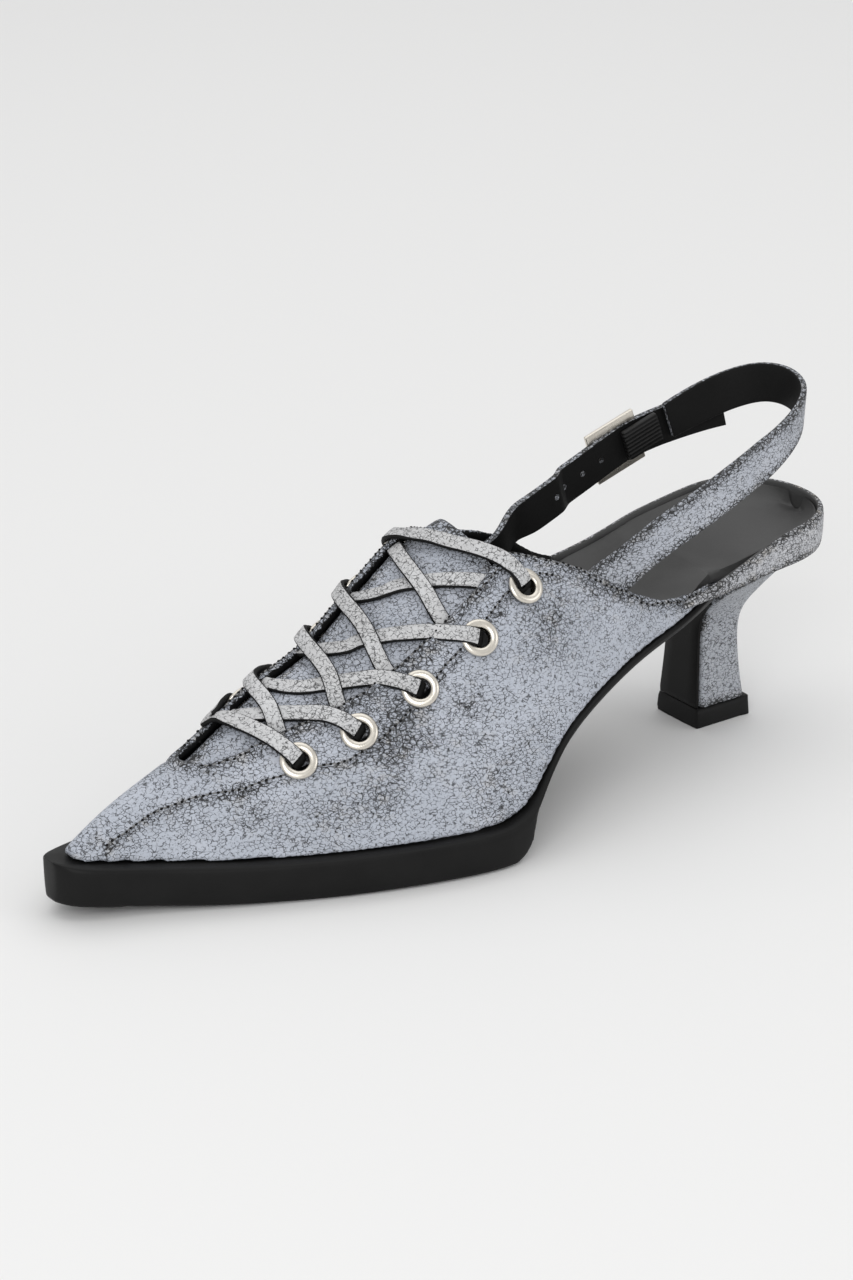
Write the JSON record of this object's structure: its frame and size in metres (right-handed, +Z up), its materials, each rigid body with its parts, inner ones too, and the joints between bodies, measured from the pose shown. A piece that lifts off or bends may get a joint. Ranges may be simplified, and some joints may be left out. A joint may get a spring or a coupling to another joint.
{
  "type": "lace up heel",
  "caption": "Pointed slingback shoe with a lace up front, a low flared heel, a thin platform, and a strap with a buckle and elastic round the back.",
  "frame": {"origin": "middle of the heel tip's underside, on the floor", "axes": "+X towards the toe, +Y towards the outer side of this left shoe, +Z up"},
  "size_m": [0.266, 0.0876, 0.1045],
  "materials": {
    "leather": "matte cracked",
    "sole_rubber": "satin",
    "sock_leather": "satin",
    "black_elastic": "matte ribbed",
    "nickel": "polished",
    "lace_leather": "matte cracked"
  },
  "bodies": {
    "root": {"outsole": "sole_rubber", "upper": "leather", "tongue": "leather", "insole": "sock_leather", "seat_rim": "leather", "heel": "leather", "top_piece": "sole_rubber", "breast_flap": "sole_rubber", "sling_strap": "leather", "elastic": "black_elastic", "front_strap": "leather", "buckle_frame": "nickel", "buckle_prong": "nickel", "lace": "lace_leather", "eyelet_outer_1": "nickel", "eyelet_outer_2": "nickel", "eyelet_outer_3": "nickel", "eyelet_outer_4": "nickel", "eyelet_outer_5": "nickel", "eyelet_inner_1": "nickel", "eyelet_inner_2": "nickel", "eyelet_inner_3": "nickel", "eyelet_inner_4": "nickel", "eyelet_inner_5": "nickel"}
  },
  "joints": []
}
